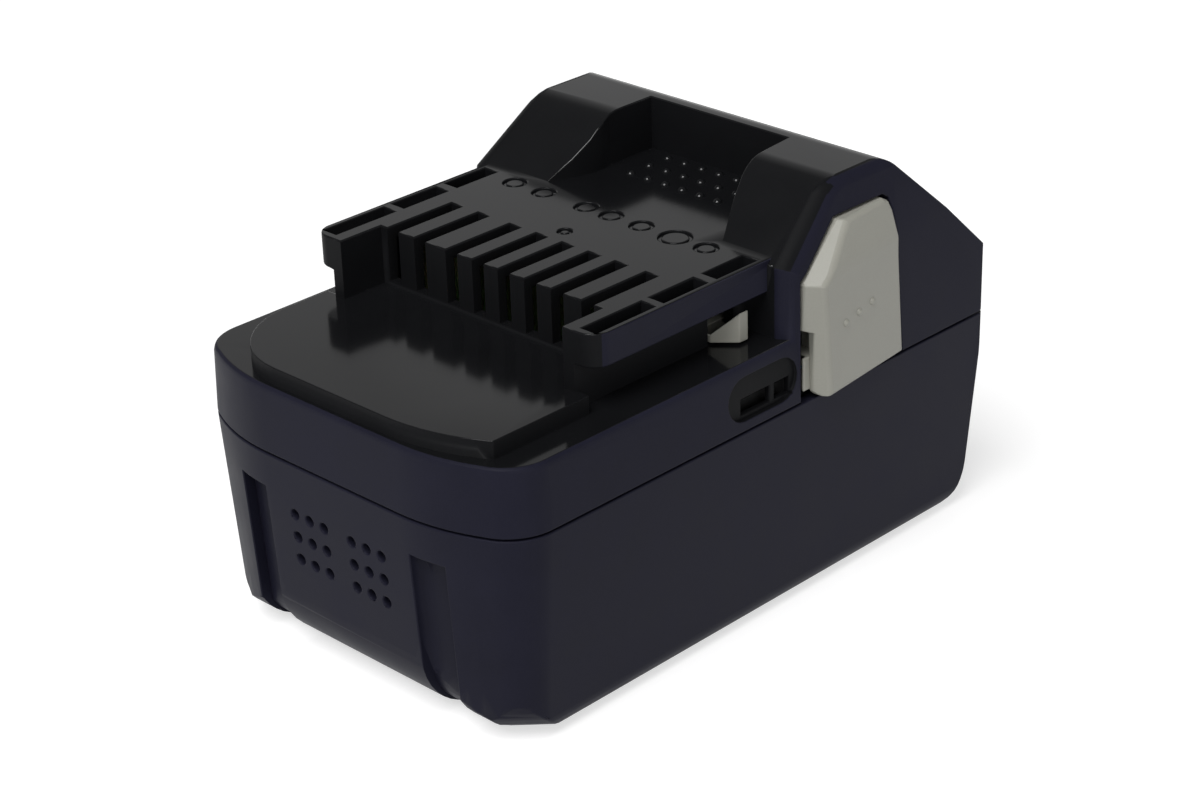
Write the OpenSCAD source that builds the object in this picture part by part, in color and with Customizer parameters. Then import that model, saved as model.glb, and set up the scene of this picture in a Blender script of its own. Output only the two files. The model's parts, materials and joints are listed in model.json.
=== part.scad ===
// Slide-on battery pack for a cordless power tool: two case halves, ten round
// cells in two holders, welded strips, a control board with its contact clips
// and two sprung side latches.
// X is the width, Y the length with the vent end at -Y, Z is up.
// The origin is the middle of the base.

/* [Case] */
// Length of the case at the parting line
case_l = 120; // [110:0.5:132]
// Width of the case at the parting line
case_w = 75.6; // [70:0.1:83]
// Room between each cell end and the outside of the case at the parting line
side_room = 5.4; // [5.2:0.1:8]
// Room between the cell holders and the vent end
front_room = 12.5; // [11.5:0.1:18]
// Room between the cell holders and the rear
rear_room = 7.5; // [7:0.1:12]
// Height of the parting line above the axes of the upper cells
seam_up = 5.9; // [5.5:0.1:9]
// Inward lean of the lower walls for each millimetre of height
draft = 0.06; // [0.02:0.005:0.07]
// Radius of the two upright corners at the vent end
front_r = 9; // [8.5:0.5:11]
// Radius of the bow at each side of the vent end
bow_r = 38; // [34:1:46]
// Half width of the flat middle of the vent end
bow_x = 16; // [13:0.5:17]
// Radius of the two upright corners at the rear
rear_r = 2; // [1:0.1:4]
// Radius of the base edge along the two sides
base_r = 4.5; // [3:0.5:5]
// Radius of the base edge under the vent end
front_base_r = 13; // [10:0.5:14]
// Radius of the base edge under the two front corners
corner_base_r = 10.5; // [8:0.5:12]
// Radius of the base edge at the rear
rear_base_r = 9; // [7:0.5:10]
// Wall thickness of both case halves
wall = 2; // [1.6:0.1:2.2]
// Floor thickness of the lower case
floor_t = 2.4; // [2:0.1:2.6]
// Open seam between the two halves
seam = 0.4; // [0.2:0.05:0.8]

/* [Top] */
// Height of the upper case's side band above the parting line
band_h = 12; // [11:0.5:15]
// Height of the raised front pad above the band
pad_h = 3.1; // [2.6:0.1:4]
// Half width of the raised front pad
pad_hw = 31; // [30:0.1:32]
// Radius of the pad's rounded left front corner
pad_r = 17; // [12:0.5:18]
// Setback of the pad's front edge from the vent end
pad_set = 1.7; // [1:0.1:2.5]
// Height of the rail groove above the band
groove_h = 7.8; // [7:0.1:9]
// Thickness of the two rails
rail_t = 5.8; // [5:0.1:7]
// Half width over the rails
rail_hw = 33; // [32:0.1:34]
// Half width of the neck below the rails
neck_hw = 28.3; // [27.8:0.1:28.8]
// Front end of the rails
rail_y = -33; // [-36:0.5:-31]
// Half width of the bay between the rail fronts
bay_hw = 26; // [25.6:0.1:26.4]
// Front face of the terminal comb
comb_y = -24; // [-25:0.25:-23.5]
// Back end of the terminal slots
slot_y = -9.25; // [-9.5:0.25:-8]
// Width of each terminal slot
slot_w = 2.8; // [2.6:0.1:3.2]

/* [Hump] */
// Front face of the hump
hump_y = 7; // [6.5:0.25:7.5]
// Height of the hump above the rails
hump_h = 9.7; // [8.5:0.1:12]
// Back edge of the hump's flat top
hump_back = 35.3; // [33:0.5:38]
// Half width of the hump's flat top
hump_top_hw = 34.7; // [33.8:0.1:35]
// rounding of the hump's front brow
brow_r = 11; // [6:0.5:12]
// rounding of the hump's sloping side edges
side_r = 4; // [2:0.25:4.25]
// radius along the sides of the hump's top
top_r = 2.6; // [1.5:0.1:3]
// radius of the ridge between the hump's top and its back slope
ridge_r = 6; // [3:0.5:7]
// Half width of the grip recess
recess_hw = 16; // [13:0.5:17]
// Back wall of the grip recess
recess_y = 32; // [30:0.5:33]

/* [Latches] */
// Inward travel of each latch
latch_travel = 3.8; // [3:0.1:4]
// Gap round each latch button in its window
latch_gap = 0.4; // [0.3:0.05:0.6]
// Height of a button's face above the hump's side, at its rear edge
button_proud = 0.8; // [0.4:0.1:1.2]
// Turn of a button's face, which makes its front edge stand further out, in degrees
button_turn = 5.9; // [3:0.1:7]
// Outer reach of the latch tooth in the groove
tooth_x = 32.1; // [31:0.1:32.4]
// Wire diameter of the latch springs
spring_wire = 0.8; // [0.6:0.05:1]
// Mean coil radius of the latch springs
spring_r = 3.6; // [3.2:0.1:4]

/* [Cells] */
// Space between neighbouring cells
cell_space = 1.2; // [0.8:0.1:2]
// Radial gap of a cell in its holder
cell_gap = 0.15; // [0.05:0.05:0.25]
// Width of each cell holder along the cells
holder_w = 10.5; // [8:0.5:14]
// Thickness of the welded strips
strip_t = 0.25; // [0.15:0.05:0.35]
// Thickness of the end insulators
paper_t = 0.3; // [0.2:0.05:0.4]

/* [Board] */
// Thickness of the control board
board_t = 1.6; // [1:0.1:2]
// Thickness of the foam pad under the board
foam_t = 1.6; // [1:0.1:2]
// Half width of the control board
board_hw = 24.5; // [23:0.5:25]

/* [Hidden] */
$fn = 64;
// cell grid, from the room that the case leaves: five columns and two rows
cell_len = case_w - 2 * side_room;
cell_pitch = (case_l - front_room - rear_room - 2) / 5;
cell_d = cell_pitch - cell_space;
cell_r = cell_d / 2;
row_0 = floor_t + 1.25 + cell_r + cell_gap;
row_z = [row_0, row_0 + cell_pitch];
cell_shift = (front_room - rear_room) / 2;
col_y = [for (i = [-2:2]) cell_shift + i * cell_pitch];
holder_out = cell_len / 2 - 1.4;
holder_in = holder_out - holder_w;
holder_y0 = col_y[0] - cell_pitch / 2 - 1;
holder_y1 = col_y[4] + cell_pitch / 2 + 1;
holder_z0 = floor_t + 0.2;
holder_z1 = row_z[1] + cell_r + cell_gap + 1.05;
// case outline and the level of the parting line over the cells
hw = case_w / 2;
hl = case_l / 2;
lower_h = row_z[1] + seam_up;
z_low = lower_h - seam / 2;
z_up = lower_h + seam / 2;
z_band = lower_h + band_h;
z_pad = z_band + pad_h;
z_groove = z_band + groove_h;
z_rail = z_groove + rail_t;
z_top = z_rail + hump_h;
skin = 2.2;
// front corner: where the bow turns into it, its centre and its reach on the diagonal
bow_turn = asin((hw - bow_x - front_r) / (bow_r - front_r));
corner_x = hw - front_r;
corner_y = round(1000 * (bow_r - hl - (bow_r - front_r) * cos(bow_turn) - 0.06)) / 1000;
corner_t = (corner_x - corner_y) * sqrt(0.5) + front_r + 0.3;
// terminal slot centres, from the photographed spacing
slot_x = [-23.0, -16.4, -8.7, -2.4, 3.7, 9.8, 15.9, 22.7];
// centres of the round marks behind the slots
mark_x = [-22.7, -15.5, -5.3, 0.6, 7.6, 15.3, 22.2, -0.5];
mark_y = -5.7;
// rail pockets, front and back ends
pockets = [[-31.5, -18.1], [-16.3, -5.95], [-3.9, 5.8]];
pocket_in = 28.7;
pocket_out = 31.9;
// sloping front of the hump, run for each millimetre of rise
slope = 1.25;
slope_turn = atan(1 / slope);
slope_z = z_rail - 1;
// side taper of the hump
taper_z = z_rail - 2.6;
// control board
board_z0 = holder_z1 + foam_t;
board_z1 = board_z0 + board_t;
board_y0 = comb_y - 17;
board_y1 = hump_y + 7;
contact_top = z_rail - 2.7;
// case screws
post_r = 2.3;
boss_r = 3.4;
boss_z = 8.6;
screw_z = 6.4;
front_post = [hw - 10.6, 8.7 - hl];
rear_post = [15, hl - 6.3];
posts = [[front_post[0], front_post[1]], [-front_post[0], front_post[1]],
         [rear_post[0], rear_post[1]], [-rear_post[0], rear_post[1]]];
// latch
arm_z0 = z_band - 2.9;
arm_z1 = z_band + 2;
bridge_y = 15.6;
tooth_y0 = -1.8;
tooth_y1 = 3.4;
button_x = hw - 0.2 + button_proud;
button_in = hw - 4.4;
button_y0 = hump_y + 3.4;
button_y = 36.3;
spring_y = 24;
spring_z = z_band + 5.5;
seat_x = 14.8;
coils = 7;
// lean of the hump's sides
side_turn = atan((hw - 0.2 - hump_top_hw) / (z_top - taper_z));
// fall of the hump's back slope for each millimetre of length
rear_rise = (z_top - 0.8 - z_band - 0.9) / (hl - 0.7 - hump_back - 0.9);
rear_turn = atan(rear_rise);
function slope_at(y) = z_band + 0.9 + (hl - 0.7 - y) * rear_rise;

// a flat outline in (y, z) drawn out along X
module along_x(x0, x1) {
  translate([x0, 0, 0]) rotate([90, 0, 90]) linear_extrude(x1 - x0) children();
}

// a flat outline in (x, z) drawn out along Y
module along_y(y0, y1) {
  translate([0, y1, 0]) rotate([90, 0, 0]) linear_extrude(y1 - y0) children();
}

// points on an arc
function arc(c, r, a0, a1, n) =
  [for (i = [0:n]) let (a = a0 + (a1 - a0) * i / n) [c[0] + r * cos(a), c[1] + r * sin(a)]];

// inset and height of a leaning wall with a rounded foot
function foot(inset, z0, r, n) =
  let (zc = z0 + r, d = inset + draft * (lower_h - zc) + r * sqrt(1 + draft * draft))
  [for (i = [0:n]) let (a = -90 + (90 - atan(draft)) * i / n) [d - r * cos(a), zc + r * sin(a)]];

// a right half outline closed by its mirror image
function both(right) = concat(right, [for (i = [len(right) - 1:-1:0]) [-right[i][0], right[i][1]]]);

// a full-length solid that follows the case outline; wall points are [inset, z]
module ring_solid(pts, rounded = false) {
  n = len(pts);
  z0 = pts[0][1];
  z1 = pts[n - 1][1];
  across = both([for (p = pts) [hw - p[0], p[1]]]);
  along_y(corner_y, 0) polygon(across);
  along_x(-bow_x, bow_x)
    polygon(concat([[corner_y, z0]], [for (p = pts) [-hl + p[0], p[1]]], [[corner_y, z1]]));
  for (s = [0, 1]) mirror([s, 0, 0]) {
    translate([bow_x, bow_r - hl, 0]) rotate([0, 0, -90]) rotate_extrude(angle = bow_turn)
      polygon(concat([[0, z0]], [for (p = pts) [bow_r - p[0], p[1]]], [[0, z1]]));
    translate([corner_x, corner_y, 0]) rotate([0, 0, -90]) rotate_extrude(angle = 90)
      polygon(concat([[0, z0]], [for (p = pts) [front_r - p[0], p[1]]], [[0, z1]]));
  }
  intersection() {
    along_y(0, hl) polygon(across);
    along_x(-hw, hw) polygon(concat([[0, z0]], [for (p = pts) [hl - p[0], p[1]]], [[0, z1]]));
    if (rounded) translate([0, 0, z0 - 1]) linear_extrude(z1 - z0 + 2) rear_plan();
  }
}

// plan outline that only trims the two rear upright corners
module rear_plan() {
  c = [hw - rear_r, hl - rear_r];
  polygon(both(concat([[hw + 1, -1], [hw + 1, c[1]]], arc(c, rear_r * 1.05, 0, 90, 7), [[c[0], hl + 1]])));
}

// lower case outline seen from the side, with its rounded front and rear base edges
function base_side(inset, z0, zt) =
  let (f = foot(inset, z0, front_base_r - inset, 10), r = foot(inset, z0, rear_base_r - inset, 8),
       t = inset - draft * (zt - lower_h))
  concat([[-hl + t, zt]], [for (i = [10:-1:0]) [-hl + f[i][0], f[i][1]]],
         [for (p = r) [hl - p[0], p[1]]], [[hl - t, zt]]);

// lower case outline across one front corner, seen square to the diagonal
function base_corner(inset, z0, zt) =
  let (f = foot(inset, z0, corner_base_r - inset, 8))
  concat([[inset - corner_t - draft * (zt - lower_h), zt]],
         [for (i = [8:-1:0]) [f[i][0] - corner_t, f[i][1]]],
         [[2 * hl, z0], [2 * hl, zt]]);

// the lower case as a full solid, drawn in by an inset
module lower_solid(inset, z0, zt, rounded = false) {
  intersection() {
    ring_solid(concat(foot(inset, z0, base_r - inset, 6), [[inset - draft * (zt - lower_h), zt]]), rounded);
    along_x(-hw - 1, hw + 1) polygon(base_side(inset, z0, zt));
    rotate([0, 0, 45]) along_x(-2 * hl, 2 * hl) polygon(base_corner(inset, z0, zt));
    rotate([0, 0, -45]) along_x(-2 * hl, 2 * hl) polygon(base_corner(inset, z0, zt));
  }
}

module lower_case() {
  color([0.13, 0.13, 0.15]) difference() {
    lower_solid(0, 0, z_low, true);
    // inside, less the walls behind the front grooves and the screw bosses
    difference() {
      lower_solid(wall, floor_t, lower_h + 1);
      difference() {
        for (s = [-1, 1]) translate([s * 20.95 - 4.7, -hl - 1, -1]) cube([9.4, 20, lower_h - 4]);
        lower_solid(wall + 1.5, floor_t, lower_h + 2);
      }
      for (p = posts) translate([p[0], p[1], -1]) cylinder(r = boss_r, h = boss_z + 1);
    }
    // front grooves that run out through the base
    difference() {
      for (s = [-1, 1]) translate([s * 20.95 - 3.5, -hl - 1, -1]) cube([7, 20, lower_h - 5.8]);
      lower_solid(2.1, 0, lower_h + 2);
    }
    // two groups of vent holes
    for (s = [-1, 1], i = [0:2], j = [0:2])
      translate([s * (3.34 + 3.57 * i), -hl - 1, lower_h - 9.7 - 4.26 * j])
        rotate([-90, 0, 0]) cylinder(r = 0.95, h = 8);
    // screw holes with a counterbore
    for (p = posts) translate([p[0], p[1], -1]) {
      cylinder(r = 2.45, h = screw_z + 1);
      cylinder(r = 1.6, h = boss_z + 2);
    }
  }
}

// where the brow's arc meets the hump's flat top
function brow_y() = hump_y + slope * (z_top - slope_z) + brow_r * tan(slope_turn / 2);

// hump outline seen from the side
function hump_side() =
  let (y1 = hump_back + 0.9 - 0.8 / rear_rise - ridge_r * tan(rear_turn / 2))
  concat([[hump_y, z_up], [hump_y, slope_z]],
         arc([brow_y(), z_top - brow_r], brow_r, 90 + slope_turn, 90, 6),
         arc([y1, z_top - ridge_r], ridge_r, 90, 90 - rear_turn, 5),
         [[hl - 0.7, z_band + 0.9], [hl, z_band], [hl, z_up]]);

// hump outline seen from the front, right half
function hump_half(cut) =
  let (r = 1.4, c = [hump_top_hw - cut - r * tan(45 - side_turn / 2), z_top - r])
  concat([[hw - cut, z_up], [hw - 0.2 - cut, taper_z]], arc(c, r, side_turn, 90, 4));

// the side that lies within r of a point along a direction
module half_space(point, along, r) {
  translate(point) rotate([0, acos(along[2]), atan2(along[1], along[0])])
    translate([-150, -150, -300]) cube([300, 300, 300 + r]);
}

// hump with its side edges rounded off along the slope, the brow and the top
module hump_outer() {
  intersection() {
    hump_block();
    intersection_for (k = [0:39]) {
      s = k < 20 ? -1 : 1;
      part = floor(k / 5) % 4 / 3;
      i = k % 5 + 1;
      turn = slope_turn * (1 - part);
      r = side_r + (top_r - side_r) * part;
      y = brow_y() - (brow_r - r) * sin(turn);
      z = z_top - brow_r + (brow_r - r) * cos(turn);
      x = hw - 0.2 - (z - taper_z) * tan(side_turn) - r / cos(side_turn);
      way = [0, -sin(turn), cos(turn)] * (6 - i) / 6 + [s * cos(side_turn), 0, sin(side_turn)] * i / 6;
      half_space([s * x, y, z], way / norm(way), r);
    }
  }
}

module hump_block() {
  intersection() {
    along_x(-hw, hw) polygon(hump_side());
    along_y(hump_y - 1, hl + 1) polygon(both(hump_half(0)));
    translate([0, 0, z_up - 1]) linear_extrude(z_top) rear_plan();
    translate([0, 0, z_up - 1]) linear_extrude(z_top) {
      c = [hw - 4.5, hump_y + 4.5];
      polygon(both(concat([[c[0], hump_y - 1]], arc(c, 4.7, -90, 0, 7),
                          [[hw + 1, c[1]], [hw + 1, hl + 2]])));
    }
  }
}

module hump_inner() {
  zt = z_top - skin;
  y0 = hump_y + 3.5 + slope * (zt - slope_z);
  yt = hump_back + 0.9 - skin * sqrt(1 + 1 / rear_rise / rear_rise) + (skin - 0.8) / rear_rise;
  yr = hl - wall;
  intersection() {
    along_x(-hw, hw)
      polygon([[hump_y + wall, z_up - 3], [hump_y + wall, slope_z + (wall - 3.5) / slope],
               [y0, zt], [yt, zt], [yr, zt - (yr - yt) * rear_rise], [yr, z_up - 3]]);
    along_y(hump_y, hl)
      polygon(both([[hw - wall - 0.1, z_up - 3], [hw - 0.4 - wall, taper_z],
                    [hump_top_hw - wall, z_top - 1.2]]));
  }
}

// grip recess in plan; grow adds its wall thickness
module recess_plan(grow) {
  w = recess_hw + grow;
  y = hump_y;
  polygon([[w + 6.7, y - 8], [w + 6.2, y + 1.4], [w + 3.2, y + 7.4], [w + 2, y + 10.8],
           [w + 1.2, y + 14.4], [w, recess_y + grow], [-w, recess_y + grow], [-w, y + 14.4],
           [0.6 - w, y + 12], [0.5 - w, y + 9], [-w - 0.6, y + 5.4], [-w - 2.6, y + 1.4],
           [-w - 3, y - 8]]);
}

// rear, top and upper front of a latch button seen from the side; grow widens it into its window
function button_rim(grow) =
  let (y0 = button_y0 - grow, y1 = button_y + grow, z = z_rail + grow)
  [[y1, z_up + 0.3 - grow], [y1 - 1.7, z_rail - 7], [y1 - 2, z_rail + 1.3], [y1 - 2.6, z + 3],
   [y1 - 4, z + 3.8], [y0 + 10.1, z + 3.75], [y0 + 0.1, z - 4.2]];

// the button's own outline steps back below its front corner
function button_pts() =
  concat(button_rim(0), [[button_y0 + 0.3, z_band + 0.8], [button_y0 + 1.6, z_band + 0.4],
                         [button_y0 + 2.2, z_up + 1.2], [button_y0 + 3.2, z_up + 0.3]]);

// rounded rail and plate outline in plan
module plate_plan() {
  c = [rail_hw - 3.4, rail_y + 3.4];
  polygon(both(concat([[bay_hw, rail_y]], arc(c, 3.4, -90, 0, 7), [[rail_hw, hump_y + 3]])));
}

// raised front pad in plan: bowed front edge, square right corner, round left corner
module pad_plan(inset) {
  y0 = -hl + pad_set + inset;
  x1 = pad_hw - inset;
  r = bow_r - inset;
  a1 = asin((x1 - 12) / r);
  polygon(concat([for (i = [0:8]) let (a = a1 * i / 8) [12 + r * sin(a), y0 + r - r * cos(a)]],
                 [[x1, rail_y + 0.5], [-x1, rail_y + 0.5]],
                 arc([-pad_hw + pad_r, -hl + pad_set + pad_r], pad_r - inset, 180, 270, 10)));
}

// long oval in (y, z)
module oval(y, z, len, r) {
  polygon(concat(arc([y + len / 2 - r, z], r, -90, 90, 10), arc([y - len / 2 + r, z], r, 90, 270, 10)));
}

module upper_case() {
  color([0.13, 0.13, 0.15]) difference() {
    union() {
      difference() {
        union() {
          // side band
          ring_solid([[0, z_up], [0.35, z_band - 1], [0.55, z_band - 0.3], [1, z_band]], true);
          // front pad
          translate([0, 0, z_band - 1]) linear_extrude(pad_h + 1) pad_plan(0);
          translate([-bay_hw - 1, rail_y, z_band - 1])
            cube([2 * bay_hw + 2, comb_y - rail_y + 2, pad_h + 1]);
          // neck and its two side legs
          translate([-neck_hw, rail_y, z_band - 1]) cube([2 * neck_hw, hump_y + 2 - rail_y, groove_h + 2]);
          // plate with the rails
          translate([0, 0, z_groove]) linear_extrude(rail_t) plate_plan();
          hump_outer();
        }
        // inside of the band
        ring_solid([[wall, z_up - 1], [wall + 0.3, z_band - skin]]);
        // inside of the front pad
        translate([0, 0, z_band - skin - 1]) linear_extrude(pad_h + 1) pad_plan(skin);
        translate([-bay_hw + 2, rail_y - 2, z_band - skin - 1])
          cube([2 * bay_hw - 4, comb_y - rail_y + 5, pad_h + 1]);
        // inside of the neck
        translate([-neck_hw + skin, comb_y + wall, z_band - skin - 1])
          cube([2 * neck_hw - 2 * skin, hump_y + 4 - comb_y, z_rail - z_band + 1]);
        // inside of the hump, round the grip recess
        difference() {
          hump_inner();
          translate([0, 0, z_rail - skin]) linear_extrude(hump_h + 10) recess_plan(wall);
        }
        // bay in front of the terminal comb
        translate([-bay_hw, rail_y - 3, z_pad]) cube([2 * bay_hw, comb_y - rail_y + 3, 30]);
        // grip recess
        translate([0, 0, z_rail]) linear_extrude(hump_h + 10) recess_plan(0);
      }
      // tongue inside the seam
      difference() {
        ring_solid([[wall + 0.25, lower_h - 2], [wall + 0.25, z_up],
                    [wall - 0.1, z_up], [wall - 0.1, z_up + 1.5]]);
        ring_solid([[wall + 1.15, lower_h - 3], [wall + 1.15, z_up + 3]]);
      }
      // screw posts, up to the roof over the band, the front pad and the hump's back slope
      for (p = posts) {
        top = p[1] > 0 ? slope_at(p[1] + post_r) - 0.5 : p[0] > 0 ? z_pad - 1.6 : z_band - 0.4;
        translate([p[0], p[1], boss_z + 0.2]) cylinder(r = post_r, h = top - boss_z - 0.2);
      }
      // spring seats under the grip recess
      for (s = [-1, 1])
        translate([s * (seat_x - 0.9) - 0.9, spring_y - 4.5, spring_z - 4.2])
          cube([1.8, 9, z_rail - 1 - spring_z + 4.2]);
      // grip pips on the floor of the recess
      for (i = [0:5], j = [0:2])
        translate([4.08 * (i - 2.5), 20.4 + 4.75 * j, z_rail - 0.35]) sphere(r = 0.95);
    }
    // terminal slots
    for (x = slot_x) translate([x - slot_w / 2, comb_y - 1, z_pad + 0.8])
      cube([slot_w, slot_y - comb_y + 1, 30]);
    // rail pockets
    for (s = [-1, 1], p = pockets)
      translate([s > 0 ? pocket_in : -pocket_out, p[0], z_rail - 4])
        cube([pocket_out - pocket_in, p[1] - p[0], 10]);
    // shallow round marks behind the slots, each a ring round a slightly sunk middle
    for (i = [0:7]) translate([mark_x[i], i == 7 ? mark_y : 4.3, z_rail]) {
      r = i == 5 ? 2.9 : i == 7 ? 1.3 : 2.1;
      translate([0, 0, -0.4]) difference() {
        cylinder(r = r, h = 1);
        translate([0, 0, -1]) cylinder(r = r - 0.55, h = 3);
      }
      translate([0, 0, -0.12]) cylinder(r = r - 0.3, h = 1);
    }
    // latch windows in the hump's sides and the neck
    for (s = [-1, 1]) {
      edge = button_rim(latch_gap);
      along_x(s > 0 ? button_in - 6 : -hw - 2, s > 0 ? hw + 2 : 6 - button_in)
        polygon(concat([[edge[6][0], lower_h - 4], [edge[0][0], lower_h - 4]], edge));
      translate([s > 0 ? neck_hw - skin - 1 : -neck_hw - 1, tooth_y0 - 0.5, z_band + 0.1])
        cube([skin + 2, tooth_y1 - tooth_y0 + 1, groove_h - 0.2]);
      // oval snap window in the side band
      along_x(s > 0 ? hw - 0.9 : -hw - 1, s > 0 ? hw + 1 : -hw + 0.9) oval(0.8, lower_h + 5.9, 16.8, 3.9);
      along_x(s > 0 ? hw - 4 : -hw - 1, s > 0 ? hw + 1 : -hw + 4) {
        translate([-3.9, lower_h + 2.7]) square([7, 2.9]);
        translate([4.3, lower_h + 2.7]) square([3.6, 2.9]);
      }
    }
    // pilot holes in the posts
    for (p = posts) translate([p[0], p[1], boss_z]) cylinder(r = 1.4, h = 15);
  }
}

module case_screws() {
  color([0.45, 0.45, 0.47]) for (p = posts) translate([p[0], p[1], screw_z]) difference() {
    union() {
      translate([0, 0, -1.8]) cylinder(r = 2.2, h = 1.8);
      translate([0, 0, -0.2]) cylinder(r = 1.35, h = 15);
    }
    translate([0, 0, -3]) cylinder(r = 1.2, h = 2, $fn = 6);
  }
}

module cell_holder(s) {
  x = s > 0 ? holder_in : -holder_out;
  color([0.2, 0.2, 0.21]) difference() {
    along_x(x, x + holder_w)
      polygon([[holder_y0 + 4, holder_z0], [holder_y1 - 4, holder_z0], [holder_y1, holder_z0 + 4],
               [holder_y1, holder_z1], [holder_y0, holder_z1], [holder_y0, holder_z0 + 4]]);
    for (y = col_y, z = row_z)
      translate([x - 1, y, z]) rotate([0, 90, 0]) cylinder(r = cell_r + cell_gap, h = holder_w + 2);
    // room for the screw bosses and posts
    for (p = posts) translate([p[0], p[1], 0]) {
      cylinder(r = boss_r + 0.35, h = boss_z + 0.6);
      cylinder(r = post_r + 0.35, h = z_top);
    }
  }
}

module cell_holder_left() { cell_holder(-1); }
module cell_holder_right() { cell_holder(1); }

// one cell; pole is the side of its raised plus cap
module cell(col, row, pole) {
  color([0.16, 0.42, 0.62]) translate([0, col_y[col], row_z[row]]) rotate([0, pole * 90, 0]) {
    translate([0, 0, -cell_len / 2]) cylinder(r = cell_r, h = cell_len - 0.8);
    translate([0, 0, cell_len / 2 - 1]) cylinder(r = 4, h = 1);
  }
}

module cell_1() { cell(0, 0, -1); }
module cell_2() { cell(0, 1, -1); }
module cell_3() { cell(1, 0, 1); }
module cell_4() { cell(1, 1, 1); }
module cell_5() { cell(2, 0, -1); }
module cell_6() { cell(2, 1, -1); }
module cell_7() { cell(3, 0, 1); }
module cell_8() { cell(3, 1, 1); }
module cell_9() { cell(4, 0, -1); }
module cell_10() { cell(4, 1, -1); }

// welded strip over the columns c0 to c1 on side s; tab carries it up to the board
module strip(s, c0, c1, tab) {
  x = s > 0 ? cell_len / 2 : -cell_len / 2 - strip_t;
  color([0.72, 0.72, 0.7]) {
    difference() {
      translate([x, col_y[c0] - 4.5, row_z[0] - 4.5])
        cube([strip_t, col_y[c1] - col_y[c0] + 9, row_z[1] - row_z[0] + 9]);
      for (c = [c0:c1], z = row_z) translate([x - 1, col_y[c] - 0.4, z - 2.5]) cube([3, 0.8, 5]);
    }
    if (tab) translate([x, col_y[c0] - 2.3, row_z[1] + 3]) cube([strip_t, 4.6, board_z1 - row_z[1] - 3]);
  }
}

module strip_plus() { strip(-1, 0, 0, true); }
module strip_12() { strip(1, 0, 1, false); }
module strip_23() { strip(-1, 1, 2, false); }
module strip_34() { strip(1, 2, 3, false); }
module strip_45() { strip(-1, 3, 4, false); }
module strip_minus() { strip(1, 4, 4, true); }

module insulator(s) {
  x = cell_len / 2 + strip_t;
  color([0.62, 0.66, 0.55]) translate([s > 0 ? x : -x - paper_t, holder_y0 + 2.5, floor_t + 3.2])
    cube([paper_t, holder_y1 - holder_y0 - 4, holder_z1 - floor_t - 5]);
}

module insulator_left() { insulator(-1); }
module insulator_right() { insulator(1); }

module board_pad() {
  color([0.12, 0.12, 0.12]) translate([-board_hw + 0.5, board_y0 + 1, holder_z1])
    cube([2 * board_hw - 1, board_y1 - board_y0 - 2, foam_t]);
}

module control_board() {
  color([0.1, 0.36, 0.2]) difference() {
    translate([-board_hw, board_y0, board_z0]) cube([2 * board_hw, board_y1 - board_y0, board_t]);
    for (s = [-1, 1]) translate([s * (board_hw - 3), board_y0 + 10, board_z0 - 1])
      cylinder(r = 1.2, h = board_t + 2);
  }
}

module controller_chip() {
  color([0.08, 0.08, 0.09]) translate([-3.5, board_y0 + 4, board_z1]) cube([7, 7, 1.1]);
}

module power_fets() {
  color([0.1, 0.1, 0.11]) for (s = [-1, 1]) translate([s * 11 - 3.3, board_y0 + 3, board_z1])
    cube([6.6, 9.5, 2.2]);
}

// one contact clip: two facing blades on a foot
module contact(i) {
  y = comb_y + 2.7;
  len = slot_y - 1.45 - y;
  color([0.8, 0.62, 0.35]) translate([slot_x[i], y, board_z1]) {
    translate([-1.05, 0, 0]) cube([2.1, len, 0.6]);
    for (s = [0, 1]) mirror([s, 0, 0]) translate([0.5, 0, 0.3])
      cube([0.5, len, contact_top - board_z1 - 0.3]);
  }
}

module contact_1() { contact(0); }
module contact_2() { contact(1); }
module contact_3() { contact(2); }
module contact_4() { contact(3); }
module contact_5() { contact(4); }
module contact_6() { contact(5); }
module contact_7() { contact(6); }
module contact_8() { contact(7); }

module lead_plus() {
  color([0.75, 0.45, 0.28]) translate([-cell_len / 2 - strip_t, col_y[0] - 2.3, board_z1])
    cube([cell_len / 2 + strip_t - board_hw + 4.5, 4.6, 0.3]);
}

module lead_minus() {
  color([0.75, 0.45, 0.28]) {
    translate([board_hw - 5.1, col_y[4] - 2.3, board_z1])
      cube([cell_len / 2 + strip_t - board_hw + 5.1, 4.6, 0.3]);
    translate([board_hw - 5.1, board_y1 - 5, board_z1]) cube([4.6, col_y[4] - board_y1 + 7.3, 0.3]);
  }
}

module thermistor() {
  y = (col_y[3] + col_y[4]) / 2;
  color([0.75, 0.7, 0.6]) {
    translate([0, y, row_z[1] + 5.6]) sphere(r = 1.5);
    for (s = [-1, 1]) {
      translate([s * 0.8, y, row_z[1] + 5.6]) cylinder(r = 0.3, h = board_z1 - row_z[1] - 5.3, $fn = 24);
      translate([s * 0.8, y, board_z1 + 0.3]) sphere(r = 0.3, $fn = 24);
      translate([s * 0.8, y, board_z1 + 0.3]) rotate([90, 0, 0])
        cylinder(r = 0.3, h = y - board_y1 + 3, $fn = 24);
    }
  }
}

// place of the button's front wall, which leans back towards its foot
module at_front_wall() {
  translate([hw - 0.2, button_y0 - 0.1, z_rail - 6.5]) rotate([6.3, 0, 0]) children();
}

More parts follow.
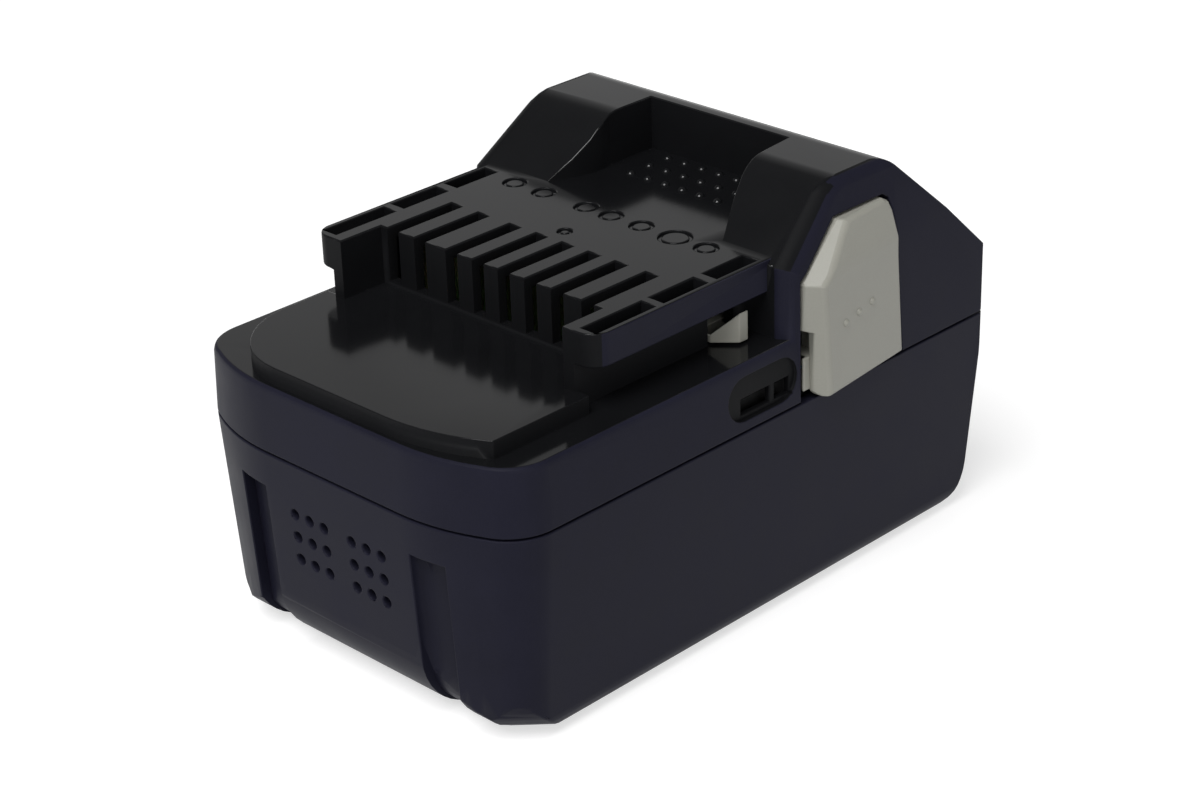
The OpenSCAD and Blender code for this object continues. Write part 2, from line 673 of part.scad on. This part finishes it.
// a button: turned outer face with a taper above, sloping front and upper front walls
module button() {
  difference() {
    intersection() {
      along_x(button_in, hw + 6) polygon(button_pts());
      translate([button_x, button_y, 0]) rotate([0, 0, button_turn]) along_y(-40, 10)
        polygon([[-14, z_up - 2], [0, z_up - 2], [0, taper_z - 0.5],
                 [-0.3 * 9, taper_z + 8.5], [-14, taper_z + 8.5]]);
      at_front_wall() translate([0, 0, -30]) linear_extrude(60)
        polygon([[-20, -2], [-2.8, -2], [7, 5], [7, 60], [-20, 60]]);
      translate([hw - 0.3, button_y0 + 0.95, z_rail - 3.5]) rotate([-51.3, 0, 0]) rotate([0, -6, 0])
        translate([0, 0, -30]) linear_extrude(60)
          polygon([[-20, -2], [-4.6, -2], [7, 3], [7, 60], [-20, 60]]);
    }
    // hollow behind the stepped front edge
    translate([button_in - 1, button_y0 - 1, z_band - 4.3]) cube([hw - 0.3 - button_in + 1, 5.6, 4.7]);
    // thin skirt where the pressed button passes the cells
    translate([button_in - 1, hump_y, z_up - 3])
      cube([hw - 0.5 - button_in + 1, button_y, holder_z1 + 1 - z_up + 3]);
  }
  // front lip in the gap below the step
  translate([hw - 0.9, button_y0 + 0.6, z_up + 1.5]) cube([0.6, 2.4, 6]);
  // rear lip that keeps the button in its window
  translate([button_in, button_y - 2.6, holder_z1 + 1.2]) cube([1.6, 4, 12]);
  // three raised dots
  for (i = [0:2])
    translate([button_x + (button_y - 18.5 - 3.85 * i) * tan(button_turn) - 0.25,
               18.5 + 3.85 * i, lower_h + 12.5 + 0.56 * i]) sphere(r = 0.75);
}

// one latch, drawn for the right side: button, arm and hook tooth
module latch(s) {
  color([0.58, 0.58, 0.52]) mirror([s < 0 ? 1 : 0, 0, 0]) {
    button();
    // bridge and arm
    translate([22.6, bridge_y, arm_z0]) cube([button_in - 22.6 + 1, 3.8, arm_z1 - arm_z0]);
    translate([22.6, tooth_y0, arm_z0]) cube([3, bridge_y + 3.4 - tooth_y0, arm_z1 - arm_z0]);
    // hook tooth with its leading ramp and a top that falls towards the neck
    intersection() {
      translate([0, 0, z_band + 0.4]) linear_extrude(groove_h - 0.8)
        polygon([[22.6, tooth_y0], [28.4, tooth_y0], [tooth_x, tooth_y0 + 3.1],
                 [tooth_x, tooth_y1], [22.6, tooth_y1]]);
      along_y(tooth_y0 - 1, tooth_y1 + 1)
        polygon([[22, z_band], [tooth_x + 1, z_band], [tooth_x + 1, z_band + 6.8],
                 [tooth_x - 3.8, z_band + 1.9], [22, z_band + 1.9]]);
    }
    // spring guide
    translate([26.8, spring_y, spring_z]) rotate([0, 90, 0]) cylinder(r = 2.3, h = button_in - 26.8 + 0.5);
  }
}

module latch_left() { latch(-1); }
module latch_right() { latch(1); }

// points along the spring's wire
function wire_point(t) = let (x0 = seat_x + 0.5, x1 = button_in - 0.6, a = 360 * coils * t)
  [x0 + (x1 - x0) * t, spring_y + spring_r * cos(a), spring_z + spring_r * sin(a)];

module latch_spring(s) {
  rings = coils * 12;
  sides = 6;
  path = [for (i = [0:rings]) wire_point(i / rings)];
  function ahead(i) = let (d = path[min(i + 1, rings)] - path[max(i - 1, 0)]) d / norm(d);
  pts = [for (i = [0:rings], k = [0:sides - 1])
          let (out = [0, path[i][1] - spring_y, path[i][2] - spring_z] / spring_r,
               b = cross(ahead(i), out), a = 360 * k / sides)
          path[i] + spring_wire / 2 * (out * cos(a) + b / norm(b) * sin(a))];
  function corner(i, k) = i * sides + k % sides;
  faces = concat([[for (k = [0:sides - 1]) k]],
                 [for (i = [0:rings - 1], k = [0:sides - 1])
                   [corner(i, k), corner(i + 1, k), corner(i + 1, k + 1)]],
                 [for (i = [0:rings - 1], k = [0:sides - 1])
                   [corner(i, k), corner(i + 1, k + 1), corner(i, k + 1)]],
                 [[for (k = [sides - 1:-1:0]) rings * sides + k]]);
  least = min([for (i = [0:rings], j = [0:rings]) if (j - i > 8) norm(path[i] - path[j])]) - spring_wire;
  echo(spring_least_gap = least);
  color([0.7, 0.7, 0.7]) mirror([s < 0 ? 1 : 0, 0, 0]) polyhedron(pts, faces);
}

module latch_spring_left() { latch_spring(-1); }
module latch_spring_right() { latch_spring(1); }

lower_case();
upper_case();
case_screws();
cell_holder_left();
cell_holder_right();
cell_1();
cell_2();
cell_3();
cell_4();
cell_5();
cell_6();
cell_7();
cell_8();
cell_9();
cell_10();
strip_plus();
strip_12();
strip_23();
strip_34();
strip_45();
strip_minus();
insulator_left();
insulator_right();
board_pad();
control_board();
controller_chip();
power_fets();
contact_1();
contact_2();
contact_3();
contact_4();
contact_5();
contact_6();
contact_7();
contact_8();
lead_plus();
lead_minus();
thermistor();
latch_left();
latch_right();
latch_spring_left();
latch_spring_right();
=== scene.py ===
import json
import math

import bmesh
import bpy
from mathutils import Matrix, Vector
from mathutils.bvhtree import BVHTree


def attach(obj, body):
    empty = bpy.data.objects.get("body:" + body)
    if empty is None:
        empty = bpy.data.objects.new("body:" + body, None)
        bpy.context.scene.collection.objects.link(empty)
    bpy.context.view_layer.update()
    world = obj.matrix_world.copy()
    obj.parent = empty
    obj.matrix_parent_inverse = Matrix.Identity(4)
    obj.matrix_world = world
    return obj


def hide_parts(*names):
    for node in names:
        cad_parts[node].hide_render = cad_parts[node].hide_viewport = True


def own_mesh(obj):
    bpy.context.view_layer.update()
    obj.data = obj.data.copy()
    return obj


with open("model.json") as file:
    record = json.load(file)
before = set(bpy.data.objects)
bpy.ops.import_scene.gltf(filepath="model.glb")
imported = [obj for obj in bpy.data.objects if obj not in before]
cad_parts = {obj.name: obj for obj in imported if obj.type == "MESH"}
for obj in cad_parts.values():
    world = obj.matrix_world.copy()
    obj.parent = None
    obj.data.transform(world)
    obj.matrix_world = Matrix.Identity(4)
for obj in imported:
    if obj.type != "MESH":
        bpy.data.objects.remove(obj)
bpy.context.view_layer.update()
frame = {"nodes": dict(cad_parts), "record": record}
MM = 0.001
scene = bpy.context.scene

# Camera at the photograph's viewing angle, for an image of 1200 by 800
AZIMUTH = 45.0
ELEVATION = 26.09
ROLL = -1.8188
EYE = (0.3025, -0.301692, 0.239991)
LENS = 82.4526
SENSOR_WIDTH = 36


def make_camera():
    azimuth, elevation, roll = (math.radians(a) for a in (AZIMUTH, ELEVATION, ROLL))
    back = Vector((math.sin(azimuth) * math.cos(elevation), -math.cos(azimuth) * math.cos(elevation),
                   math.sin(elevation)))
    right = Vector((math.cos(azimuth), math.sin(azimuth), 0))
    up = back.cross(right)
    rolled_right = right * math.cos(roll) + up * math.sin(roll)
    rolled_up = up * math.cos(roll) - right * math.sin(roll)
    turn = Matrix((rolled_right, rolled_up, back)).transposed().to_4x4()
    data = bpy.data.cameras.new("camera")
    data.sensor_fit = "HORIZONTAL"
    data.sensor_width = SENSOR_WIDTH
    data.lens = LENS
    camera = bpy.data.objects.new("camera", data)
    scene.collection.objects.link(camera)
    camera.matrix_world = Matrix.Translation(EYE) @ turn
    scene.camera = camera


# Node trees
class Tree:
    def __init__(self, tree):
        self.tree = tree
        tree.nodes.clear()

    def add(self, kind, inputs=None, **settings):
        node = self.tree.nodes.new("ShaderNode" + kind)
        for key, value in settings.items():
            setattr(node, key, value)
        for key, value in (inputs or {}).items():
            self.put(node.inputs[key], value)
        return node

    def put(self, socket, value):
        if isinstance(value, bpy.types.NodeSocket):
            self.tree.links.new(value, socket)
        else:
            socket.default_value = value

    def place(self):
        return self.add("TexCoord").outputs["Object"]

    def math(self, operation, *values):
        return self.add("Math", dict(enumerate(values)), operation=operation).outputs[0]

    def span(self, value, low, high, to_low, to_high):
        limits = {"From Min": low, "From Max": high, "To Min": to_low, "To Max": to_high}
        return self.add("MapRange", {"Value": value, **limits}).outputs[0]

    # The inputs and outputs of a colour mix share their names with other kinds of mix, so they go by number
    def mix(self, factor, a, b):
        return self.add("Mix", {0: factor, 6: a, 7: b}, data_type="RGBA").outputs[2]

    def noise(self, where, size_mm, detail=2.0):
        inputs = {"Vector": where, "Scale": 1 / (size_mm * MM), "Detail": detail}
        return self.add("TexNoise", inputs).outputs[0]

    def bump(self, height, depth_mm):
        inputs = {"Height": height, "Strength": 1.0, "Distance": depth_mm * MM}
        return self.add("Bump", inputs).outputs[0]


def new_tree(name):
    material = bpy.data.materials.new(name)
    material.use_nodes = True
    return material, Tree(material.node_tree)


def rgba(colour, times):
    return tuple(c * times for c in colour) + (1.0,)


def shader(tree, **inputs):
    names = {"colour": "Base Color", "metallic": "Metallic", "roughness": "Roughness",
             "specular": "Specular IOR Level", "normal": "Normal"}
    node = tree.add("BsdfPrincipled", {names[key]: value for key, value in inputs.items()})
    tree.add("OutputMaterial", {"Surface": node.outputs[0]})


# The part of a noise's range that holds nearly all of its values
NOISE_RANGE = (0.3, 0.7)

# Moulded plastic: patchy colour and gloss, and a grain in the surface
PLASTIC_PATCH_MM = 9.0
PATCH_SHARE = 0.65
GRAIN_SHARE = 0.35
GLOSS_SHIFT = 0.08


def moulded(name, colour, roughness, specular, grain_mm, grain_depth_mm, patch=0.12):
    material, tree = new_tree(name)
    where = tree.place()
    patches = tree.noise(where, PLASTIC_PATCH_MM, detail=3.0)
    grain = tree.noise(where, grain_mm)
    blend = tree.math("ADD", tree.span(patches, *NOISE_RANGE, 0.0, PATCH_SHARE),
                      tree.span(grain, *NOISE_RANGE, 0.0, GRAIN_SHARE))
    glossy = roughness * (1 - GLOSS_SHIFT)
    dull = roughness * (1 + GLOSS_SHIFT)
    shader(tree, colour=tree.mix(blend, rgba(colour, 1 - patch), rgba(colour, 1 + patch)),
           roughness=tree.span(patches, *NOISE_RANGE, glossy, dull),
           specular=specular, normal=tree.bump(grain, grain_depth_mm))
    return material


# Metal: streaks of roughness along the drawing direction, with faint patches
STREAK_MM = 0.25
STREAK_DEPTH_MM = 0.004
METAL_PATCH_MM = 4.0
METAL_SHADES = (0.85, 1.1)
METAL_GLOSS = (0.8, 1.25)


def metal(name, colour, roughness, stretch):
    material, tree = new_tree(name)
    where = tree.place()
    drawn = tree.add("Mapping", {"Vector": where, "Scale": stretch}).outputs[0]
    streaks = tree.noise(drawn, STREAK_MM)
    patches = tree.noise(where, METAL_PATCH_MM, detail=3.0)
    dark, light = (rgba(colour, shade) for shade in METAL_SHADES)
    glossy, dull = (roughness * times for times in METAL_GLOSS)
    shader(tree, colour=tree.mix(patches, dark, light), metallic=1.0,
           roughness=tree.span(streaks, *NOISE_RANGE, glossy, dull),
           normal=tree.bump(streaks, STREAK_DEPTH_MM))
    return material


# Cell: sleeve round the side, bare steel at both ends
SLEEVE_DARK = (0.08, 0.26, 0.46, 1)
SLEEVE_LIGHT = (0.11, 0.33, 0.54, 1)
CAN_STEEL = (0.6, 0.6, 0.58, 1)
SLEEVE_HALF_LENGTH_MM = 31.9
SLEEVE_PATCH_MM = 6.0
SLEEVE_ROUGHNESS = (0.22, 0.34)
WRINKLE_MM = 1.5
WRINKLE_DEPTH_MM = 0.01


def sleeved_cell(name):
    material, tree = new_tree(name)
    where = tree.place()
    x = tree.add("SeparateXYZ", {"Vector": where}).outputs[0]
    end = tree.math("GREATER_THAN", tree.math("ABSOLUTE", x), SLEEVE_HALF_LENGTH_MM * MM)
    patches = tree.noise(where, SLEEVE_PATCH_MM, detail=3.0)
    wrinkles = tree.noise(where, WRINKLE_MM, detail=3.0)
    sleeve = tree.mix(patches, SLEEVE_DARK, SLEEVE_LIGHT)
    shader(tree, colour=tree.mix(end, sleeve, CAN_STEEL), metallic=end,
           roughness=tree.span(patches, *NOISE_RANGE, *SLEEVE_ROUGHNESS),
           normal=tree.bump(wrinkles, WRINKLE_DEPTH_MM))
    return material


# Circuit board: green lacquer over a grid of copper tracks
LACQUER_DARK = (0.03, 0.17, 0.08, 1)
LACQUER_LIGHT = (0.04, 0.21, 0.1, 1)
LACQUER_ON_COPPER = (0.09, 0.3, 0.14, 1)
TRACK_SCALE = 220.0
TRACK_WIDTH = 0.08
BOARD_PATCH_MM = 3.0
BOARD_ROUGHNESS = (0.22, 0.35)


def lacquered_board(name):
    material, tree = new_tree(name)
    where = tree.place()
    tracks = tree.add("TexBrick", {"Vector": where, "Scale": TRACK_SCALE, "Mortar Size": TRACK_WIDTH,
                                   "Color1": LACQUER_DARK, "Color2": LACQUER_LIGHT,
                                   "Mortar": LACQUER_ON_COPPER})
    patches = tree.noise(where, BOARD_PATCH_MM)
    shader(tree, colour=tracks.outputs[0], roughness=tree.span(patches, *NOISE_RANGE, *BOARD_ROUGHNESS))
    return material


# Plastics: colour, roughness, specular level, grain's size and depth in mm, strength of the patches
# Metals: colour, roughness, scale of the streaks along each axis
MATERIALS = {
    "smooth": moulded("case_smooth", (0.0064, 0.0066, 0.0074), 0.12, 0.37, 0.5, 0.001),
    "textured": moulded("case_textured", (0.0116, 0.0116, 0.0208), 0.45, 0.06, 0.28, 0.012),
    # A dull, dark copy of the case plastic, put on faces as painted shade where they lie in recesses or turn
    # away from the light
    "matt": moulded("case_painted_shade_matt", (0.0062, 0.0064, 0.0072), 0.5, 0.06, 0.4, 0.006),
    "latch": moulded("latch_olive", (0.282, 0.279, 0.245), 0.38, 0.4, 0.35, 0.004, 0.05),
    "holder": moulded("holder_black", (0.06, 0.06, 0.065), 0.5, 0.4, 0.4, 0.01),
    "foam": moulded("foam_black", (0.035, 0.035, 0.035), 0.9, 0.2, 0.6, 0.08),
    "chip": moulded("chip_black", (0.022, 0.022, 0.022), 0.45, 0.4, 0.2, 0.004),
    "paper": moulded("fish_paper", (0.03, 0.03, 0.031), 0.8, 0.2, 0.7, 0.03),
    "resin": moulded("resin_dip", (0.5, 0.36, 0.16), 0.3, 0.5, 1.5, 0.01),
    "steel": metal("zinc_steel", (0.55, 0.55, 0.57), 0.35, (1, 1, 0.2)),
    "nickel": metal("nickel_sheet", (0.62, 0.6, 0.56), 0.3, (1, 1, 0.08)),
    "brass": metal("contact_metal", (0.45, 0.38, 0.27), 0.35, (1, 0.08, 1)),
    "copper": metal("copper_lead", (0.7, 0.36, 0.2), 0.35, (0.1, 1, 1)),
    "spring": metal("spring_wire", (0.5, 0.5, 0.5), 0.28, (0.2, 1, 1)),
    "cell": sleeved_cell("cell_sleeve"),
    "board": lacquered_board("board_green"),
}
LOOK_OF_SLOT = {
    "case": "textured", "latch_plastic": "latch", "screw_steel": "steel", "holder_plastic": "holder",
    "cell_sleeve": "cell", "nickel": "nickel", "paper": "paper", "foam": "foam", "board": "board",
    "chip": "chip", "contact_brass": "brass", "copper": "copper", "resin": "resin", "spring_steel": "spring",
}


def dress_nodes():
    for part in frame["record"]["subparts"]:
        mesh = frame["nodes"][part["node"]].data
        mesh.materials.clear()
        mesh.materials.append(MATERIALS[LOOK_OF_SLOT[part["material_slot"]]])


# Roundings in mm. Edges are crisp except at these places, given by limits of |x|, y and z; first fit counts
RADII = {"none": 0, "fine": 0.15, "rail_end": 0.2, "crisp": 0.25, "rail": 0.4, "button": 0.8}
END = math.inf
ALL = (-END, END)
UPPER_PLACES = [
    ((-END, 13), (19, 31.5), (-END, 65), "none"),       # pips in the grip recess
    ((-END, 28.5), (-END, -23.5), (54, 63.5), "none"),  # walls of the terminal bay
    (ALL, (7.5, END), (63.5, 64.2), "none"),            # foot of the recess's edge
    ((27, 29), (-3, 4.5), (50, 58.5), "none"),          # rim of the tooth's window
    ((28, 35), (-31, -24), (63.5, END), "rail_end"),    # front ends of the rails
    (ALL, (57, END), (50, 53), "none"),                 # rear edge of the band
    ((32.2, END), (-END, 8), (58, 60), "rail"),         # lower edges of the rails
    (ALL, ALL, (49, 51), "fine"),                       # top edge of the band
    (ALL, (-END, -32), (53.3, 54), "fine"),             # top edge of the front pad
]
LOWER_PLACES = [
    (ALL, (57, END), (36.5, END), "none"),              # seam at the rear
    ((-END, 34), (-END, -46), (-END, 14), "none"),      # front grooves
]


def inside(at, limits):
    return all(low < v < high for v, (low, high) in zip((abs(at.x), at.y, at.z), limits))


def radius_by_place(places):
    def radius_of(edge, at):
        for *limits, name in places:
            if inside(at, limits):
                return RADII[name]
        return RADII["crisp"]
    return radius_of


# A button's outer rim is widely rounded, and the small turns along its curves stay as they are
RIM_X = 37.6
TOP_RIM_X = 36
TOP_RIM_Z = 58
FACES_OUT = 0.9
CURVE_TURN = 0.5


def latch_radius(edge, at):
    outer = abs(at.x) > RIM_X or abs(at.x) > TOP_RIM_X and at.z > TOP_RIM_Z
    side = math.copysign(1, at.x)
    if outer and any(f.normal.x * side > FACES_OUT for f in edge.link_faces):
        return RADII["button"]
    return RADII["crisp"] if edge.calc_face_angle() > CURVE_TURN else RADII["none"]


# Finish of the upper case's faces, and painted shade (the dark matt copy on inner walls, the oval window,
# the ridge's back and hump facets leaning away): places in mm, then limits for the parts of a face's normal
OVAL_WINDOW = ((35.9, 37.4), (-8, 9.5), (40.3, 48.5))
BAND_TOP = 50.6
HUMP_X = 27
HUMP_FOOT = 58
RIDGE_FOOT = 70
OUTER_X = 32.5
OUTER_Y = 57
LEVEL = 0.95
RISING = 0.5
HUMP_LEAN = 0.12
HUMP_RISE = 0.2
FRONT_TURN = -0.25
SIDE_LEAN = 0.3
FRONT_SIDE_LEAN = 0.75
RIDGE_TURN = (0.3, 0.66)


def upper_look(face):
    at = face.calc_center_median() / MM
    normal = face.normal
    lean = abs(normal.x)
    # The matt copy returned below is painted shade: the oval window, hump facets leaning away, the ridge's
    # back and the inner walls
    if inside(at, OVAL_WINDOW):
        return "matt"
    if at.z < BAND_TOP and abs(normal.z) < LEVEL:
        return "textured"
    on_hump = at.z > HUMP_FOOT and abs(at.x) > HUMP_X
    if on_hump and lean > HUMP_LEAN and normal.z > HUMP_RISE:
        least_lean = SIDE_LEAN if normal.y > FRONT_TURN else FRONT_SIDE_LEAN
        return "textured" if lean > least_lean else "matt"
    if at.z > RIDGE_FOOT and RIDGE_TURN[0] < normal.y < RIDGE_TURN[1]:
        return "matt"
    if abs(normal.z) > RISING:
        return "smooth"
    return "textured" if abs(at.x) > OUTER_X or at.y > OUTER_Y else "matt"


def plain_look(look):
    return lambda face: look


# Raised dots on the buttons: taken off before the edges are rounded, and put back as domes
DOT_RADIUS = 0.75
DOT_MARGIN = 0.02
DOT_COUNT = 3
FIRST_DOT_Y = 18.5
FIRST_DOT_Z = 51
DOT_STEP_Y = 3.85
DOT_STEP_Z = 0.56
BUTTON_REAR_X = 38.15
BUTTON_REAR_Y = 36.3
BUTTON_LEAN = 5.9


def dot_centres(side):
    slope = math.tan(math.radians(BUTTON_LEAN))
    centres = []
    for i in range(DOT_COUNT):
        y = FIRST_DOT_Y + DOT_STEP_Y * i
        x = BUTTON_REAR_X + (BUTTON_REAR_Y - y) * slope
        centres.append(Vector((side * x, y, FIRST_DOT_Z + DOT_STEP_Z * i)) * MM)
    return centres


def take_dots(bm, centres):
    near = (DOT_RADIUS + DOT_MARGIN) * MM
    dots = [f for f in bm.faces if any(all((v.co - c).length < near for v in f.verts) for c in centres)]
    bmesh.ops.delete(bm, geom=dots, context="FACES")
    bmesh.ops.holes_fill(bm, edges=[e for e in bm.edges if e.is_boundary])


def put_dots(bm, centres):
    for centre in centres:
        made = bmesh.ops.create_icosphere(bm, subdivisions=3, radius=DOT_RADIUS * MM,
                                          matrix=Matrix.Translation(centre))
        for face in {f for v in made["verts"] for f in v.link_faces}:
            face.smooth = True


# An edge is rounded only if a ray from it, level or rising (falling for the lower case), leaves the piece
RAYS = [Vector((math.cos(a), math.sin(a), z)).normalized()
        for z in (0.0, 0.6, 2.0) for a in (i * math.pi / 4 for i in range(8))]
RAY_START_MM = 0.06
LEAST_RISE = 0.15


def open_to_air(tree, point, normal, upwards):
    start = point + normal * RAY_START_MM * MM
    for ray in RAYS:
        way = Vector((ray.x, ray.y, ray.z * upwards))
        if way.dot(normal) > LEAST_RISE and tree.ray_cast(start, way)[0] is None:
            return True
    return False


# A copy of a CAD node whose outer edges are rounded; angles in degrees
WELD = 2e-6
FLAT_TURN = 0.3
SHARP_TURN = 35
CASE_TURN = 28
LATCH_TURN = 14
BEVEL_STEPS = 4


def soften(node, body, upwards, radius_of, look_of, least_turn, dots=()):
    bm = bmesh.new()
    bm.from_mesh(frame["nodes"][node].data)
    bmesh.ops.remove_doubles(bm, verts=bm.verts, dist=WELD)
    take_dots(bm, dots)
    bmesh.ops.dissolve_limit(bm, angle_limit=math.radians(FLAT_TURN), use_dissolve_boundaries=False,
                             verts=bm.verts, edges=bm.edges, delimit=set())
    bm.normal_update()
    tree = BVHTree.FromBMesh(bm)
    weight = bm.edges.layers.float.new("bevel_weight_edge")
    widest = max(RADII.values())
    looks = sorted({look_of(f) for f in bm.faces})
    for face in bm.faces:
        face.smooth = True
        face.material_index = looks.index(look_of(face))
    for edge in bm.edges:
        if not edge.is_manifold or not edge.is_convex or edge.calc_face_angle() < math.radians(least_turn):
            continue
        middle = (edge.verts[0].co + edge.verts[1].co) / 2
        normal = (edge.link_faces[0].normal + edge.link_faces[1].normal).normalized()
        radius = radius_of(edge, middle / MM)
        if radius and open_to_air(tree, middle, normal, upwards):
            edge[weight] = radius / widest
    put_dots(bm, dots)
    mesh = bpy.data.meshes.new(node + "_soft")
    bm.to_mesh(mesh)
    bm.free()
    mesh.set_sharp_from_angle(angle=math.radians(SHARP_TURN))
    for look in looks:
        mesh.materials.append(MATERIALS[look])
    piece = bpy.data.objects.new(node + "_soft", mesh)
    scene.collection.objects.link(piece)
    bevel = piece.modifiers.new("rounded edges", "BEVEL")
    bevel.limit_method = "WEIGHT"
    bevel.width = widest * MM
    bevel.segments = BEVEL_STEPS
    bevel.use_clamp_overlap = False
    bevel.miter_outer = "MITER_ARC"
    even = piece.modifiers.new("even shading", "WEIGHTED_NORMAL")
    even.keep_sharp = True
    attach(piece, body)
    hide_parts(node)


def squash_spring(node):
    source = frame["nodes"][node]
    piece = bpy.data.objects.new(node + "_coil", source.data.copy())
    piece.matrix_world = source.matrix_world.copy()
    scene.collection.objects.link(piece)
    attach(piece, "pack")
    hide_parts(node)
    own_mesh(piece)


# Floor, which looks white to the camera and in reflections but lights the part less
FLOOR_HALF = 4.0
FLOOR_DROP_MM = 0.05
FLOOR_DARK = (0.56, 0.56, 0.56, 1)
FLOOR_LIGHT = (0.58, 0.58, 0.58, 1)
FLOOR_PATCH_MM = 60.0
FLOOR_GLOW = 0.62
WHITE = (1, 1, 1, 1)


def make_floor():
    mesh = bpy.data.meshes.new("floor")
    corners = [(x * FLOOR_HALF, y * FLOOR_HALF, 0) for x, y in ((-1, -1), (1, -1), (1, 1), (-1, 1))]
    mesh.from_pydata(corners, [], [(0, 1, 2, 3)])
    floor = bpy.data.objects.new("floor", mesh)
    floor.location.z = -FLOOR_DROP_MM * MM
    scene.collection.objects.link(floor)
    material, tree = new_tree("floor_white")
    shade = tree.mix(tree.noise(tree.place(), FLOOR_PATCH_MM), FLOOR_DARK, FLOOR_LIGHT)
    diffuse = tree.add("BsdfDiffuse", {"Color": shade})
    path = tree.add("LightPath").outputs
    mirrored = tree.math("MAXIMUM", path["Is Glossy Ray"], path["Is Transmission Ray"])
    seen = tree.math("MAXIMUM", path["Is Camera Ray"], mirrored)
    glow = tree.add("Emission", {"Color": WHITE, "Strength": tree.math("MULTIPLY", seen, FLOOR_GLOW)})
    both = tree.add("AddShader", {0: diffuse.outputs[0], 1: glow.outputs[0]})
    tree.add("OutputMaterial", {"Surface": both.outputs[0]})
    mesh.materials.append(material)


# World: bright up to one height in the sky, dim above another
BRIGHT_HEIGHT = 0.36
DIM_HEIGHT = 0.66
BRIGHT_LEVEL = 0.5
DIM_LEVEL = 0.1


def make_world():
    world = bpy.data.worlds.new("studio")
    world.use_nodes = True
    scene.world = world
    tree = Tree(world.node_tree)
    way = tree.add("TexCoord").outputs["Generated"]
    height = tree.add("SeparateXYZ", {"Vector": way}).outputs[2]
    level = tree.span(height, BRIGHT_HEIGHT, DIM_HEIGHT, BRIGHT_LEVEL, DIM_LEVEL)
    back = tree.add("Background", {"Color": WHITE, "Strength": level})
    tree.add("OutputWorld", {"Surface": back.outputs[0]})


# Lamps: name, place, aim, side of the square in metres, watts
LAMPS = [
    ("softbox_front", (0.2, -0.75, 1.25), (0, 0, 0.03), 0.9, 20),
    ("softbox_right", (1.15, -0.5, 0.4), (0, 0, 0.04), 0.7, 3.2),
]


def area_light(name, at, aim, size, power):
    data = bpy.data.lights.new(name, "AREA")
    data.shape = "SQUARE"
    data.size = size
    data.energy = power
    lamp = bpy.data.objects.new(name, data)
    lamp.location = at
    lamp.rotation_euler = (Vector(aim) - Vector(at)).to_track_quat("-Z", "Y").to_euler()
    scene.collection.objects.link(lamp)


def light_studio():
    make_floor()
    make_world()
    for lamp in LAMPS:
        area_light(*lamp)
    scene.view_settings.view_transform = "Standard"


make_camera()
dress_nodes()
soften("upper_case", "pack", 1, radius_by_place(UPPER_PLACES), upper_look, CASE_TURN)
soften("lower_case", "pack", -1, radius_by_place(LOWER_PLACES), plain_look("textured"), CASE_TURN)
soften("latch_right", "right_latch", 1, latch_radius, plain_look("latch"), LATCH_TURN,
       dot_centres(1))
soften("latch_left", "left_latch", 1, latch_radius, plain_look("latch"), LATCH_TURN,
       dot_centres(-1))
squash_spring("latch_spring_right")
squash_spring("latch_spring_left")
light_studio()
